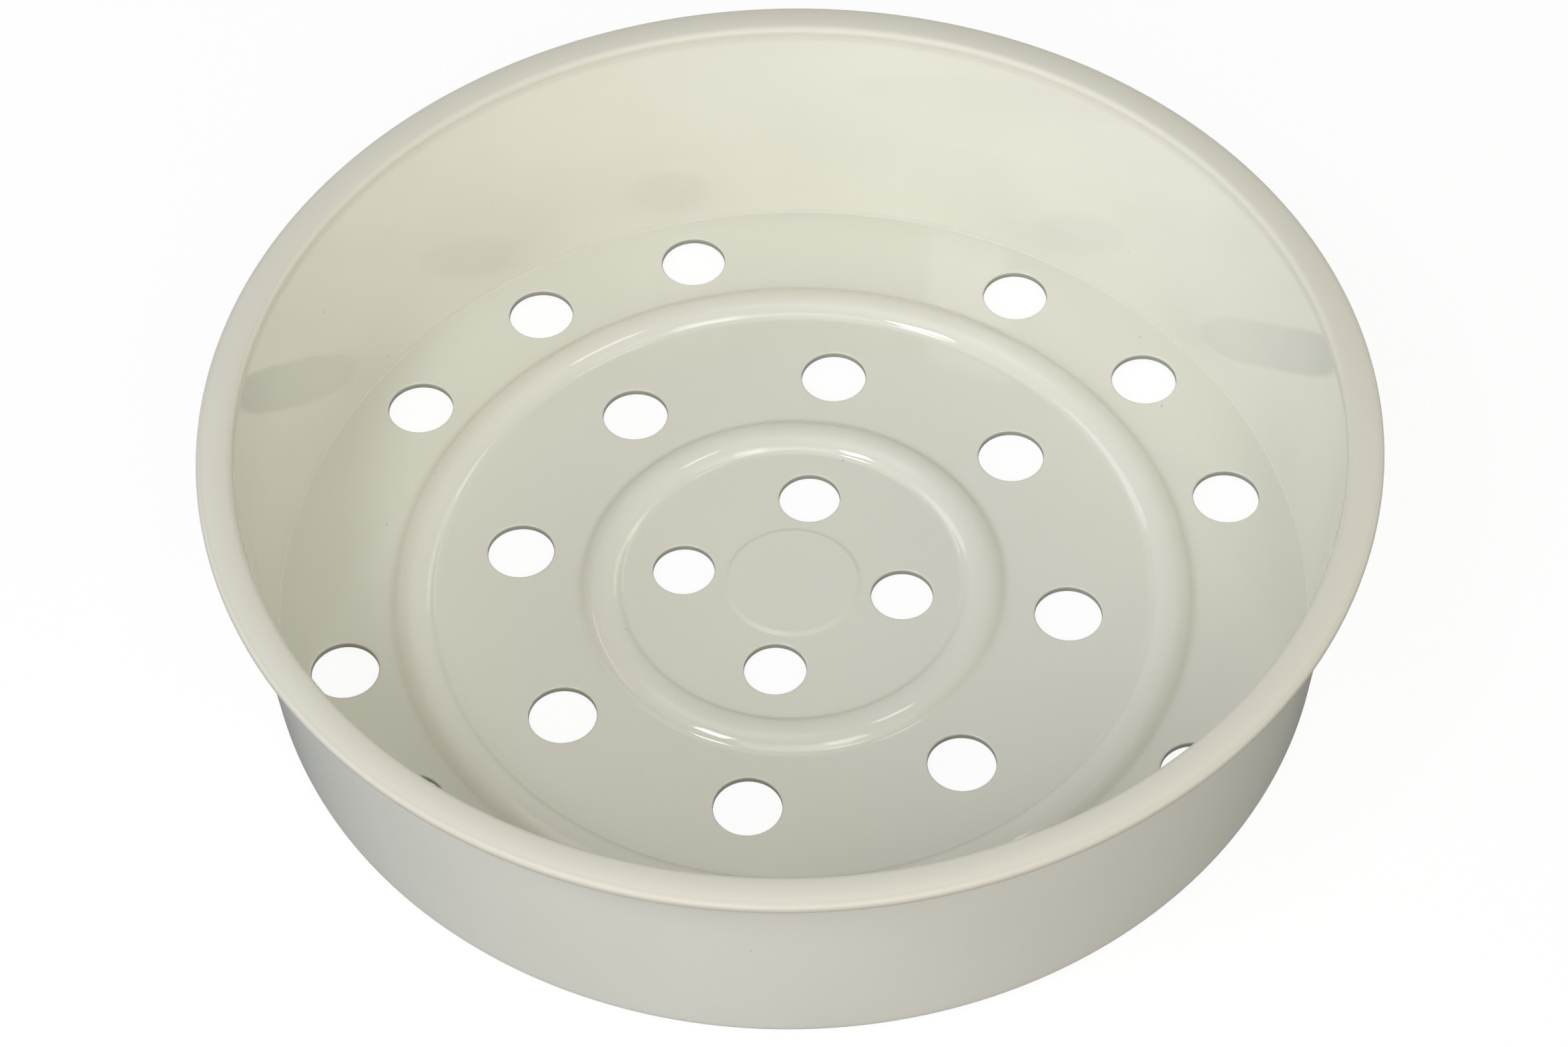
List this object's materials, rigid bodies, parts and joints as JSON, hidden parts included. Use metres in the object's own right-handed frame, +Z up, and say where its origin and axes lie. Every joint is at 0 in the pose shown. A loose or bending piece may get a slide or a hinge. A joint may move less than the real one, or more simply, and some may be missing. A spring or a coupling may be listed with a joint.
{
  "type": "steamer basket",
  "caption": "Round shallow steamer basket moulded in one piece, with an outward lip that hangs in a pot's mouth, a floor pierced by rings of steam holes and two raised stiffening beads.",
  "frame": {"origin": "centre of the flat underside, on the surface that the basket stands on", "axes": "+Z up along the axis of the bowl, +X and +Y through the four holes of the inner ring"},
  "size_m": [0.224, 0.224, 0.0526],
  "materials": {
    "basket": "ivory polypropylene, satin as moulded"
  },
  "bodies": {
    "root": {"basket": "basket"}
  },
  "joints": []
}
